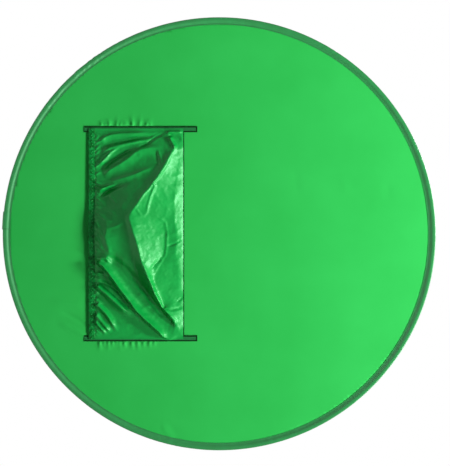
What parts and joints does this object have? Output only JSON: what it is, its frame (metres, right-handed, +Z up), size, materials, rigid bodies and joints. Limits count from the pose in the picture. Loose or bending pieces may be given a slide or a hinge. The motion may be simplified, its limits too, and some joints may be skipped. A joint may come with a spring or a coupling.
{
  "type": "collapsible backdrop disc",
  "caption": "Round pop-up backdrop of green fabric on a sprung hoop, with a gathered elastic-mouthed pocket on its rear that slips over a chair's back.",
  "frame": {"origin": "middle of the pocket's closed seam, on the rear face of the fabric, where the top of a chair's back seats inside the pocket", "axes": "+Z up, as it hangs on a chair, with the pocket's mouth facing -Z; +Y out of the plain front of the disc; the pocket is on the -Y side"},
  "size_m": [1.42, 0.0576, 1.4207],
  "materials": {
    "backdrop_cloth": "plain matt polyester weave",
    "binding_tape": "folded polyester tape with a low sheen",
    "spring_steel": "rolled spring steel strip",
    "sleeve_metal": "crimped sleeve",
    "grosgrain_tape": "ribbed sewing tape",
    "pocket_satin": "glossy coated taffeta",
    "woven_elastic": "woven elastic band"
  },
  "bodies": {
    "disc": {"backdrop_fabric": "backdrop_cloth", "edge_binding": "binding_tape", "hoop_strip": "spring_steel", "hoop_ferrule": "sleeve_metal", "side_tape_left": "grosgrain_tape", "side_tape_right": "grosgrain_tape", "seam_tape": "grosgrain_tape"},
    "pocket": {"pocket_panel": "pocket_satin", "mouth_casing": "pocket_satin", "mouth_elastic": "woven_elastic"}
  },
  "joints": [
    {"name": "pocket_mouth_open", "type": "hinge", "parent": "disc", "child": "pocket", "pos_m": [0, -0.001, 0], "axis": [-1, 0, 0], "range_deg": [0, 25], "stiffness_Nm_per_rad": 4, "springref_deg": -2.86}
  ]
}
